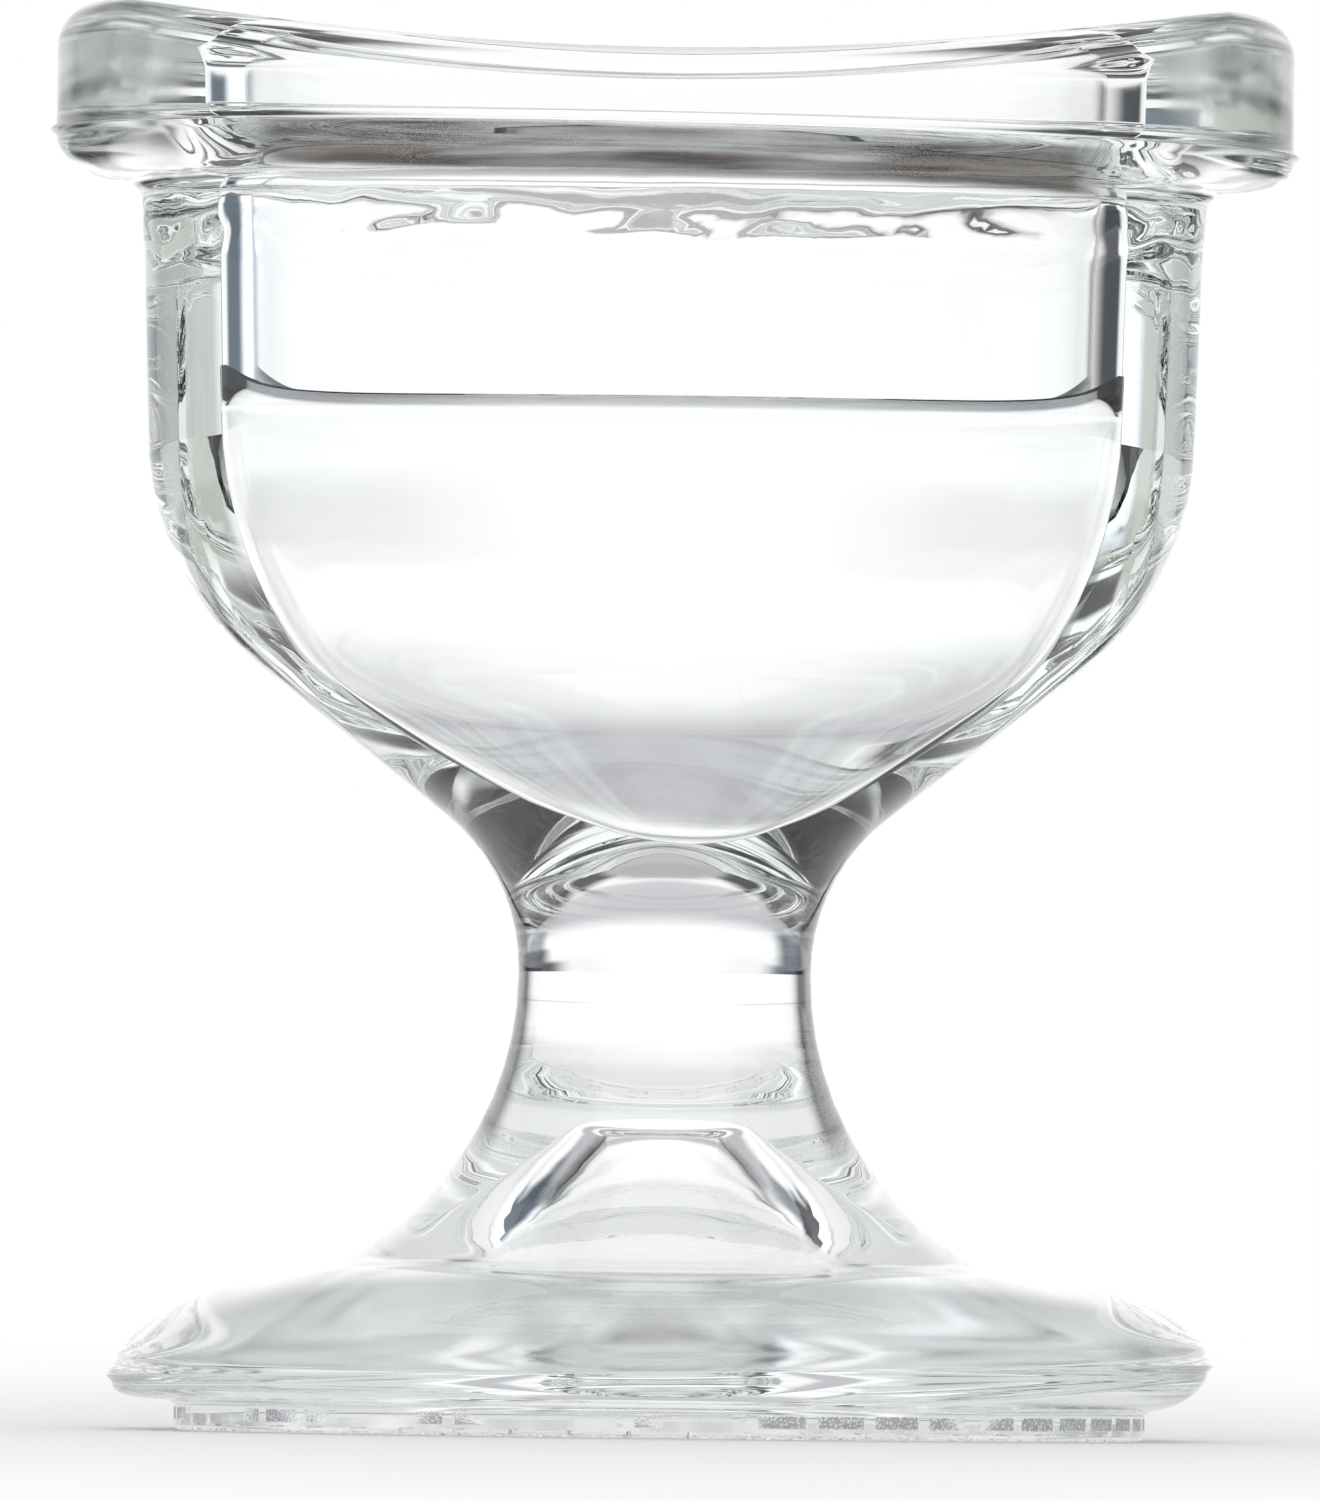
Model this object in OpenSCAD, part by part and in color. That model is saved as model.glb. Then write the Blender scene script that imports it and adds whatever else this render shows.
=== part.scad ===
// Eye bath in clear pressed glass, with lotion in it
// An oval cup with a saddle rim stands on a round waisted stem and a hollow round foot
// The oval's long way runs along X, the part stands on z = 0 and all sizes are in mm

/* [Rim] */
// Rim across its long way, without the parting fin
rim_l = 49.5; // [46:0.5:54]
// Rim across its short way, without the parting fin
rim_w = 36.4; // [33:0.2:42]
// Flange, from the bowl's wall up to the parting line
flange_h = 1.7; // [1.2:0.1:3]
// Lip, from the parting line up to its high ends
lip_h = 5.3; // [4.5:0.1:8]
// How far the lip dips at the front and back
saddle_dip = 2.3; // [0:0.1:3]
// Length of the dip along the rim
saddle_l = 44; // [36:1:48]
// Rounding of the lip's outer edge
lip_r = 1.7; // [0.8:0.1:2.4]
// Rounding of the lip's inner edge at the two ends
mouth_r = 2.4; // [1.6:0.1:3]
// Rounding of the lip's inner edge at the front and back
mouth_front_r = 0.9; // [0.6:0.1:1.5]
// How far the parting fins stand out, on the rim and on the foot
fin_out = 0.25; // [0.1:0.05:0.6]
// Thickness of the parting fins at the root
fin_t = 0.5; // [0.2:0.05:0.8]

/* [Bowl] */
// Bowl across its long way, under the flange
bowl_l = 42.5; // [39:0.5:45]
// Bowl across its short way, under the flange
bowl_w = 29.6; // [27:0.2:32]
// Upright wall, from the belly up to the flange
wall_h = 9.9; // [5:0.1:16]
// Hollow rounding between the wall and the flange
under_r = 0.8; // [0.3:0.1:1.2]
// How far the wall leans out over that height
wall_draft = 0.3; // [0:0.05:0.8]
// Rounding of the belly
belly_r = 12; // [7:0.5:13]
// Slope of the underside from level, in degrees
bowl_slope = 38; // [32:1:48]

/* [Cavity] */
// Mouth across its long way, under the lip's rounding
mouth_l = 31; // [28:0.5:33]
// Mouth across its short way, under the lip's rounding
mouth_w = 17.4; // [16:0.2:20]
// Fullness of the eye-shaped mouth, 2 being an ellipse
mouth_p = 1.6; // [1.4:0.05:2]
// How far the cavity narrows on each end down to its belly
mouth_draft = 0.3; // [0:0.05:0.8]
// Rounding of the cavity's belly
cavity_belly_r = 11; // [6:0.5:12]
// Slope of the cavity's floor from level, in degrees
cavity_slope = 36; // [30:1:44]
// Rounding of the cavity's lowest point
cavity_tip_r = 4; // [2:0.5:6]
// Glass between the waist and the cavity's lowest point
floor_t = 6.4; // [5:0.1:9]

/* [Stem] */
// Stem at its waist
waist_d = 11.7; // [9:0.1:15]
// From the top of the foot up to the waist
stem_h = 12; // [8:0.5:18]
// Hollow curve from the waist down to the foot
flare_r = 13.2; // [11:0.2:18]
// Straight part of the waist
waist_h = 0.2; // [0.1:0.1:2]
// Hollow curve from the waist up to the bowl
neck_r = 7.8; // [5:0.1:10]
// Round part of the neck, above the waist
neck_h = 2.4; // [1.5:0.1:3]

/* [Foot] */
// Foot across, without the parting fin
foot_d = 43.8; // [41:0.2:50]
// From the bearing ring up to the stem
foot_h = 5.4; // [4:0.1:8]
// From the bearing ring up to the foot's parting line
edge_h = 1.4; // [0.8:0.1:2.4]

/* [Foot hollow] */
// Flat top of the kick-up
kick_d = 4.4; // [2:0.2:7]
// Height of the kick-up above the table
kick_h = 11.2; // [8:0.2:14]
// Slope of the kick-up's side from level, in degrees
kick_slope = 57; // [48:1:70]
// Rise of the dome that leads to the kick-up
dome_h = 1.2; // [0.6:0.1:3.4]

/* [Bearing ring] */
// Bearing ring across
ring_d = 38.8; // [36:0.2:41]
// Width of the bearing ring
ring_w = 2.8; // [1.8:0.1:4]
// Height of the bearing ring
ring_h = 1.2; // [0.6:0.1:2]
// Number of gripping notches round the ring
notch_n = 50; // [24:1:72]
// Width of a notch
notch_w = 0.5; // [0.3:0.05:1]
// Face left between a notch and the ring's two edges
notch_edge = 0.6; // [0.4:0.05:0.8]
// Depth of a notch
notch_h = 0.3; // [0.1:0.05:0.5]

/* [Lotion] */
// Depth of the lotion above the cavity's lowest point
lotion_depth = 15.6; // [8:0.2:20]
// Climb of the lotion's edge on the glass
meniscus_h = 0.6; // [0.2:0.1:1]
// Width of that climbing edge
meniscus_w = 1.6; // [0.5:0.1:3]

/* [Hidden] */
$fn = 96;
// Steps round an oval and along a curve
seg = 60;
arc_n = 8;
// Least upright face that is left under the lip's roundings at the dip
face_min = 0.3;
// Height over which the round neck turns into the oval bowl
blend_h = 6;
// Fullness of the foot's crown, 1 being an ellipse
crown_p = 1.12;
// Share of the flare's radius that it may drop before the stem runs straight
flare_share = 0.92;
// Overrun of cutting shapes
over = 1;

rim_a = rim_l / 2;
rim_b = rim_w / 2;
bowl_a = bowl_l / 2;
bowl_b = bowl_w / 2;
mouth_a = mouth_l / 2;
waist_r = waist_d / 2;
foot_r = foot_d / 2;
ring_r = ring_d / 2;
ring_in_r = ring_r - ring_w;
kick_r = kick_d / 2;

// Heights, stacked from the table up
z_foot = ring_h;
z_edge = z_foot + edge_h;
z_stem = z_foot + foot_h;
z_waist = z_stem + stem_h;
z_neck = z_waist + neck_h;
turn = 90 - bowl_slope;
neck_end = [waist_r + neck_r * (1 - cos(turn)), z_waist + neck_r * sin(turn)];
belly_a = bowl_a - wall_draft;
belly_c = belly_a - belly_r;
belly_start_r = belly_c + belly_r * cos(turn);
belly_start_z = neck_end[1] + (belly_start_r - neck_end[0]) * tan(bowl_slope);
z_belly = belly_start_z + belly_r * sin(turn);
z_wall = z_belly + wall_h;
z_seam = z_wall + flange_h;
z_top = z_seam + lip_h;
dip = min(saddle_dip, lip_h - max(lip_r, mouth_r) - face_min);
// Share of the dip that the mouth's rounding loses to its smaller radius at the front
mouth_share = (mouth_r - mouth_front_r) / max(dip, face_min);

// Round neck at the plane where the bowl begins
neck_cut_r = waist_r + neck_r - sqrt(neck_r * neck_r - neck_h * neck_h);
// Flare's drop, and its radius on the foot
flare_drop = min(stem_h - waist_h, flare_r * flare_share);
z_flare = z_stem + flare_drop;
flare_foot_r = waist_r + flare_r - sqrt(flare_r * flare_r - flare_drop * flare_drop);

// Cavity's lowest point, its belly and the lotion's level
z_floor = z_waist + floor_t;
cav_ratio = mouth_w / mouth_l;
cav_a = mouth_a - mouth_draft;
tip_end = [cavity_tip_r * sin(cavity_slope), z_floor + cavity_tip_r * (1 - cos(cavity_slope))];
cav_start_r = cav_a - cavity_belly_r * (1 - sin(cavity_slope));
cav_start_z = tip_end[1] + (cav_start_r - tip_end[0]) * tan(cavity_slope);
z_cav = cav_start_z + cavity_belly_r * cos(cavity_slope);
z_mouth = z_top - mouth_r;
z_level = z_floor + lotion_depth;
z_climb = z_level + meniscus_h;

// Sphere under the foot's dome
dome_r = (ring_in_r * ring_in_r + dome_h * dome_h) / (2 * dome_h);

function smooth(t) = let (u = max(0, min(1, t))) u * u * (3 - 2 * u);

// A row is one oval: half length, half width, height, share of the saddle's dip and fullness
function outer(a, b, z, s = 0) = [a, b, z, s, 2];
function inner(a, b, z, s = 0) = [a, b, z, s, mouth_p];
function cavity_row(a, z) = inner(a, a * cav_ratio, z);

// Half width of the bowl's outside, round at the neck and oval above it
function oval_b(r, z) =
    let (share = (min(r, bowl_a) - neck_cut_r) / (bowl_a - neck_cut_r))
    r - (bowl_a - bowl_b) * share * smooth((z - z_neck) / blend_h);

// Bowl from the neck out to the flange
function bowl_side() = concat(
    [for (i = [0 : arc_n])
        let (t0 = asin(neck_h / neck_r), t = t0 + (turn - t0) * i / arc_n)
        [waist_r + neck_r * (1 - cos(t)), z_waist + neck_r * sin(t)]],
    [for (i = [0 : arc_n])
        let (t = turn * (1 - i / arc_n))
        [belly_c + belly_r * cos(t), z_belly - belly_r * sin(t)]],
    [for (i = [0 : arc_n / 2])
        let (t = 180 * i / arc_n)
        [bowl_a + under_r * (1 - cos(t)), z_wall - under_r * (1 - sin(t))]]
);

// Cavity's wall at a height between its belly and the mouth
function wall_a(z) = cav_a + mouth_draft * (z - z_cav) / (z_mouth - z_cav);

// Cavity below its upright wall, from the belly down to the lowest point
function cavity_side() = concat(
    [for (i = [0 : arc_n])
        let (t = 90 - (90 - cavity_slope) * i / arc_n)
        [cav_a - cavity_belly_r * (1 - sin(t)), z_cav - cavity_belly_r * cos(t)]],
    [for (i = [0 : 3])
        let (t = cavity_slope * (1 - i / 4))
        [cavity_tip_r * sin(t), z_floor + cavity_tip_r * (1 - cos(t))]]
);

// Points of one oval, with the saddle's dip at the front and back
function fuller(c, p) = sign(c) * pow(abs(c), 2 / p);
function saddle(x) = dip * max(0, 1 - pow(2 * x / saddle_l, 2));
function ring(row) = [for (j = [0 : seg - 1])
    let (t = 360 * j / seg, x = row[0] * fuller(cos(t), row[4]))
    [x, row[1] * fuller(sin(t), row[4]), row[2] - row[3] * saddle(x)]];

// Solid between ovals listed up the outside and down the inside, closed on itself
module hoop(rows) {
    n = len(rows);
    points = [for (row = rows) each ring(row)];
    faces = [for (i = [0 : n - 1], j = [0 : seg - 1])
        let (k = (i + 1) % n, m = (j + 1) % seg)
        [i * seg + j, k * seg + j, k * seg + m, i * seg + m]];
    polyhedron(points, faces, convexity = 6);
}

// Solid between ovals listed from a point on the axis to another point on the axis
module skin(first, rows, last) {
    n = len(rows);
    points = concat([for (row = rows) each ring(row)], [[0, 0, first], [0, 0, last]]);
    sides = [for (i = [0 : n - 2], j = [0 : seg - 1])
        let (m = (j + 1) % seg)
        [i * seg + j, (i + 1) * seg + j, (i + 1) * seg + m, i * seg + m]];
    low = [for (j = [0 : seg - 1]) [n * seg, j, (j + 1) % seg]];
    high = [for (j = [0 : seg - 1])
        [n * seg + 1, (n - 1) * seg + (j + 1) % seg, (n - 1) * seg + j]];
    polyhedron(points, concat(sides, low, high), convexity = 6);
}

// Upper half of the rim: fin, upright face, rounded lip and mouth
module lip() {
    rows = concat(
        [outer(rim_a + fin_out, rim_b + fin_out, z_seam),
         outer(rim_a, rim_b, z_seam + fin_t / 2)],
        [for (i = [0 : arc_n - 2])
            let (t = 90 * i / (arc_n - 2), in = lip_r * (1 - cos(t)))
            outer(rim_a - in, rim_b - in, z_top - lip_r * (1 - sin(t)), 1)],
        [for (i = [0 : arc_n - 2])
            let (t = 90 * i / (arc_n - 2), out = 1 - sin(t), down = 1 - cos(t))
            inner(mouth_a + mouth_r * out, mouth_a * cav_ratio + mouth_front_r * out,
                  z_top - mouth_r * down, 1 - mouth_share * down)],
        [cavity_row(wall_a(z_seam), z_seam)]
    );
    color([0.70, 0.82, 0.82])
        hoop(rows);
}

// Lower half of the rim: a half bead at the two ends, a plain slope at the front and back
module flange() {
    out_a = rim_a - bowl_a - under_r;
    out_b = rim_b - bowl_b - under_r;
    rows = concat(
        [for (i = [0 : arc_n])
            let (t = 90 * i / arc_n)
            outer(rim_a - out_a * (1 - sin(t)), rim_b - out_b * cos(t),
                  z_seam - fin_t / 2 - (flange_h - fin_t / 2) * cos(t))],
        [outer(rim_a + fin_out, rim_b + fin_out, z_seam),
         cavity_row(wall_a(z_seam), z_seam),
         cavity_row(wall_a(z_wall), z_wall)]
    );
    color([0.60, 0.76, 0.80])
        hoop(rows);
}

// Oval cup from the round neck to the flange, with its cavity
module bowl() {
    outside = [for (p = bowl_side()) outer(p[0], oval_b(p[0], p[1]), p[1])];
    inside = [for (p = cavity_side()) cavity_row(p[0], p[1])];
    color([0.74, 0.86, 0.88])
        skin(z_neck, concat(outside, [cavity_row(wall_a(z_wall), z_wall)], inside), z_floor);
}

// Half section of the space under the foot: dome, kick-up and the ring's inside
module hollow_section() {
    side = kick_h / tan(kick_slope);
    polygon([[0, 0], [kick_r + side, 0], [kick_r, kick_h], [0, kick_h]]);
    intersection() {
        translate([0, z_foot + dome_h - dome_r])
            circle(dome_r, $fn = 360);
        translate([0, -over])
            square([ring_in_r, z_foot + dome_h + 2 * over]);
    }
}

// Waisted round stem, with the kick-up rising into it
module stem() {
    color([0.66, 0.80, 0.86])
        rotate_extrude()
            difference() {
                union() {
                    difference() {
                        translate([0, z_stem])
                            square([flare_foot_r, flare_drop]);
                        translate([waist_r + flare_r, z_flare])
                            circle(flare_r);
                    }
                    translate([0, z_flare])
                        square([waist_r, z_waist - z_flare]);
                    difference() {
                        translate([0, z_waist])
                            square([neck_cut_r, neck_h]);
                        translate([waist_r + neck_r, z_waist])
                            circle(neck_r);
                    }
                }
                hollow_section();
            }
}

// Round foot: under edge, parting fin and full crown
module foot() {
    under = [for (i = [0 : arc_n])
        let (t = 90 * i / arc_n)
        [ring_r + (foot_r - ring_r) * sin(t), z_edge - fin_t / 2 - (edge_h - fin_t / 2) * cos(t)]];
    crown = [for (i = [0 : 2 * arc_n])
        let (t = 90 * i / (2 * arc_n))
        [flare_foot_r + (foot_r - flare_foot_r) * pow(cos(t), crown_p),
         z_edge + fin_t / 2 + (z_stem - z_edge - fin_t / 2) * pow(sin(t), crown_p)]];
    color([0.58, 0.74, 0.82])
        rotate_extrude()
            difference() {
                polygon(concat([[0, z_foot]], under, [[foot_r + fin_out, z_edge]], crown, [[0, z_stem]]));
                hollow_section();
            }
}

// Ring that the foot stands on, with gripping notches in its standing face
module bearing_ring() {
    color([0.50, 0.68, 0.78])
        difference() {
            rotate_extrude()
                translate([ring_in_r, 0])
                    square([ring_w, ring_h]);
            for (i = [0 : notch_n - 1])
                rotate([0, 0, 360 * (i + 0.5) / notch_n])
                    translate([ring_in_r + notch_edge, -notch_w / 2, -over])
                        cube([ring_w - 2 * notch_edge, notch_w, notch_h + over]);
        }
}

// Lotion that fills the cavity to its level, with an edge that climbs the glass
module eye_lotion() {
    side = concat([[wall_a(z_wall), z_wall]], cavity_side());
    wet = [for (i = [len(side) - 1 : -1 : 0]) if (side[i][1] < z_climb) cavity_row(side[i][0], side[i][1])];
    edge_a = lookup(z_climb, [for (p = side) [p[1], p[0]]]);
    top = [for (i = [0 : 5])
        let (t = 1 - i / 5, in = meniscus_w * (1 - t))
        inner(edge_a - in, edge_a * cav_ratio - in, z_level + meniscus_h * t * t)];
    color([0.82, 0.92, 0.98])
        skin(z_floor, concat(wet, top), z_level);
}

lip();
flange();
bowl();
stem();
foot();
bearing_ring();
eye_lotion();
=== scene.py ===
import math

import bpy
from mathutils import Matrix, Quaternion, Vector


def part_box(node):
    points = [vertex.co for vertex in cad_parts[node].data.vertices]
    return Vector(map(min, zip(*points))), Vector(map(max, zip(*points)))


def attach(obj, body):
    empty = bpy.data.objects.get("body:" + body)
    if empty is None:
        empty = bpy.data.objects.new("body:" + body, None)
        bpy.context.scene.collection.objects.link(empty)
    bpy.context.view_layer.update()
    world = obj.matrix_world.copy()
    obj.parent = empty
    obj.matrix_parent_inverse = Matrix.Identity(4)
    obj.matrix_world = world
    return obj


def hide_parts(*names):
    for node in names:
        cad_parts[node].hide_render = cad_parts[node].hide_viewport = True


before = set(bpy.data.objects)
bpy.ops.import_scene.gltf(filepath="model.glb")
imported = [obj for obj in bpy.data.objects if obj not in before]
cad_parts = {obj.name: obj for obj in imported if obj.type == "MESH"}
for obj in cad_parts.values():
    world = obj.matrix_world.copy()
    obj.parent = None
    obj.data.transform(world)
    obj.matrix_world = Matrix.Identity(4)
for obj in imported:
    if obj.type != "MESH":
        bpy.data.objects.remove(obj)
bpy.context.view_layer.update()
print("frame loaded:", ", ".join(sorted(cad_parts)))

mm = 0.001
degree = 180.0 / math.pi
scene = bpy.context.scene


def reach(node):  # lowest and highest corner of a CAD node, in mm
    low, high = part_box(node)
    return low / mm, high / mm


class Wire:
    # a socket of a node tree that can stand in a sum
    def __init__(self, tree, socket=None):
        self.tree = tree
        self.socket = socket

    def node(self, kind, settings=None, sockets=None, out=0):
        made = self.tree.nodes.new(kind)
        for name, value in (settings or {}).items():
            setattr(made, name, value)
        for name, value in (sockets or {}).items():
            if isinstance(value, Wire):
                self.tree.links.new(value.socket, made.inputs[name])
            else:
                made.inputs[name].default_value = value
        return Wire(self.tree, made.outputs[out])

    def close(self, kind, wires):  # last node of the tree
        made = self.tree.nodes.new(kind)
        for name, wire in wires.items():
            self.tree.links.new(wire.socket, made.inputs[name])

    def sums(self, operation, first, second=0.0):
        return self.node("ShaderNodeMath", {"operation": operation}, {0: first, 1: second})

    def __add__(self, other):
        return self.sums("ADD", self, other)

    def __radd__(self, other):
        return self.sums("ADD", other, self)

    def __sub__(self, other):
        return self.sums("SUBTRACT", self, other)

    def __rsub__(self, other):
        return self.sums("SUBTRACT", other, self)

    def __mul__(self, other):
        return self.sums("MULTIPLY", self, other)

    def __rmul__(self, other):
        return self.sums("MULTIPLY", other, self)

    def __truediv__(self, other):
        return self.sums("DIVIDE", self, other)

    def __rtruediv__(self, other):
        return self.sums("DIVIDE", other, self)

    def __abs__(self):
        return self.sums("ABSOLUTE", self)

    def fade(self, start, end):  # soft step from 0 to 1
        return self.node("ShaderNodeMapRange", {"interpolation_type": "SMOOTHSTEP"},
                         {0: self, 1: start, 2: end, 3: 0.0, 4: 1.0})

    def within(self, edges):  # soft step up between two edges, and down again between the next two
        return self.fade(edges[0], edges[1]) * (1.0 - self.fade(edges[2], edges[3]))

    def split(self):  # the three parts of a vector
        parts = self.node("ShaderNodeSeparateXYZ", {}, {0: self}).socket.node.outputs
        return [Wire(self.tree, part) for part in parts]

    def mix(self, share, first, second):  # of two colours
        return self.node("ShaderNodeMix", {"data_type": "RGBA"}, {0: share, 6: first, 7: second}, 2)

    def noise(self, scale, detail):
        return self.node("ShaderNodeTexNoise", {}, {"Vector": self, "Scale": scale, "Detail": detail})

    def cells(self, scale):
        return self.node("ShaderNodeTexVoronoi", {}, {"Vector": self, "Scale": scale}, "Distance")


def blankTree(owner):  # emptied node tree of a material or of the world
    owner.use_nodes = True
    owner.node_tree.nodes.clear()
    return Wire(owner.node_tree)


# camera: low, far off and level with the foot, as the photograph's outline asks
view = {
    "distance": 0.90,
    "height": 0.0055,
    "aim": (-0.0003, 0.0, 0.0274),
    "frameHeight": 0.0600,  # metres of the object that fill the picture's height
    "roll": 0.72,
    "sensor": 36.0,
    "clipStart": 0.01,
}


def makeCamera():
    data = bpy.data.cameras.new("camera")
    camera = bpy.data.objects.new("camera", data)
    scene.collection.objects.link(camera)
    aim = Vector(view["aim"])
    camera.location = Vector((aim.x, -view["distance"], view["height"]))
    look = aim - camera.location
    turn = look.to_track_quat("-Z", "Y") @ Quaternion((0, 0, 1), math.radians(view["roll"]))
    camera.rotation_euler = turn.to_euler()
    data.sensor_width = view["sensor"]
    data.lens = view["sensor"] * look.length / view["frameHeight"]
    data.clip_start = view["clipStart"]
    scene.camera = camera


makeCamera()
print("camera set")


# glass: one unbroken section, from under the foot, up the outside and down into the bowl; sizes in mm
cup = {
    "sides": 250,  # five to a notch
    "step": 0.64,  # longest step along the section
    "turn": 6.0,  # degrees in one step of a curve
    "filletMost": 0.49,  # share of a line that one fillet may take
    "finOut": 0.25,
    "finHeight": 0.5,
    "finBlunt": 0.8,  # share of the fin's reach at its blunt edge
    "finTip": 0.25,  # and of its half height
    "lipRound": 1.7,
    "mouthRound": 2.4,  # at the two ends
    "mouthFront": 0.9,
    "dip": 2.3,
    "dipReach": 22.0,  # half length of the saddle's hollow
    "rimTilt": 0.29,  # the two parting lines are not quite level
    "footTilt": -0.45,
    "mouthHalf": (15.5, 8.7),
    "cavityPlan": 1.6,  # pointed oval, 2 being an ellipse
    "mouthDraft": 0.3,
    "cavityBelly": 11.0,
    "cavitySlope": 36.0,
    "cavityTip": 4.0,
    "tipEnd": -84.0,  # angle of the last row round the lowest point
    "tipLean": 0.6,
    "underFlange": 0.8,  # fillet between the wall and the flange
    "wallDraft": 0.3,
    "belly": 12.0,
    "slope": 38.0,
    "ovalBlend": 6.0,
    "neck": 7.8,
    "neckHeight": 2.4,
    "waistHalf": 5.85,
    "waistFlat": 0.2,
    "flare": 13.2,
    "flareStart": 2.0,  # degrees past its foot, clear of the crown's last row
    "edgeHeight": 1.4,
    "crownFullness": 1.12,
    "ringWidth": 2.8,
    "ringRound": 0.25,
    "ringInside": 0.4,  # fillet between the ring and the dome
    "ringShoulder": 0.15,
    "kickHalf": 2.2,
    "kickHeight": 11.2,
    "kickSlope": 57.0,
    "kickRound": 0.9,
    "domeRise": 1.2,
    "domeRound": 4.0,
    "domeSteps": 12,
    "meetStep": 0.01,
    "rippleHeight": 0.045,
    "rippleSize": 5.5,
    "chillHeight": 0.06,  # step of the fold in the wall under the flange
    "chillSize": 4.2,
    "chillWave": 1.5,
    "chillReach": 4.2,  # how far down the wall the fold can hang
    "chillDraft": 0.12,
    "chillSteps": 12,
    "notches": 50,
    "notchDepth": 0.3,
    "notchEdge": 0.6,
    "notchSlope": 0.1,
    "seed": 7.0,
}

lipLow, lipHigh = reach("lip")
flangeLow = reach("flange")[0]
bowlHigh = reach("bowl")[1]
stemLow, stemHigh = reach("stem")
footHigh = reach("foot")[1]
ringHigh = reach("bearing_ring")[1]
lotionLow, lotionHigh = reach("eye_lotion")


def sweep(first, last, step):  # cosine and sine of angles in degrees
    return [(math.cos(math.radians(t)), math.sin(math.radians(t))) for t in range(first, last + 1, step)]


def arc(centre, radius, start, end):
    count = max(2, math.ceil(abs(end - start) / cup["turn"]))
    angles = [math.radians(start + (end - start) * i / count) for i in range(count + 1)]
    return [(centre[0] + radius * math.cos(t), centre[1] + radius * math.sin(t)) for t in angles]


def rounded(before, corner, after, radius):  # fillet of a corner between two straight lines
    corner = Vector(corner)
    toA = (Vector(before) - corner).normalized()
    toB = (Vector(after) - corner).normalized()
    half = math.acos(max(-1.0, min(1.0, toA.dot(toB)))) / 2
    reachAlong = min(radius / math.tan(half), cup["filletMost"] * (Vector(before) - corner).length,
                     cup["filletMost"] * (Vector(after) - corner).length)
    radius = reachAlong * math.tan(half)
    middle = corner + (toA + toB).normalized() * (radius / math.sin(half))
    first = corner + toA * reachAlong - middle
    last = corner + toB * reachAlong - middle
    turned = first.angle_signed(last)
    count = max(2, math.ceil(abs(math.degrees(turned)) / cup["turn"]))
    points = []
    for i in range(count + 1):
        t = -turned * i / count
        points.append((middle.x + first.x * math.cos(t) - first.y * math.sin(t),
                       middle.y + first.x * math.sin(t) + first.y * math.cos(t)))
    return points


marks = ("saddle", "notch", "ripple", "chill", "plan", "lean", "tilt", "rise")


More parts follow.
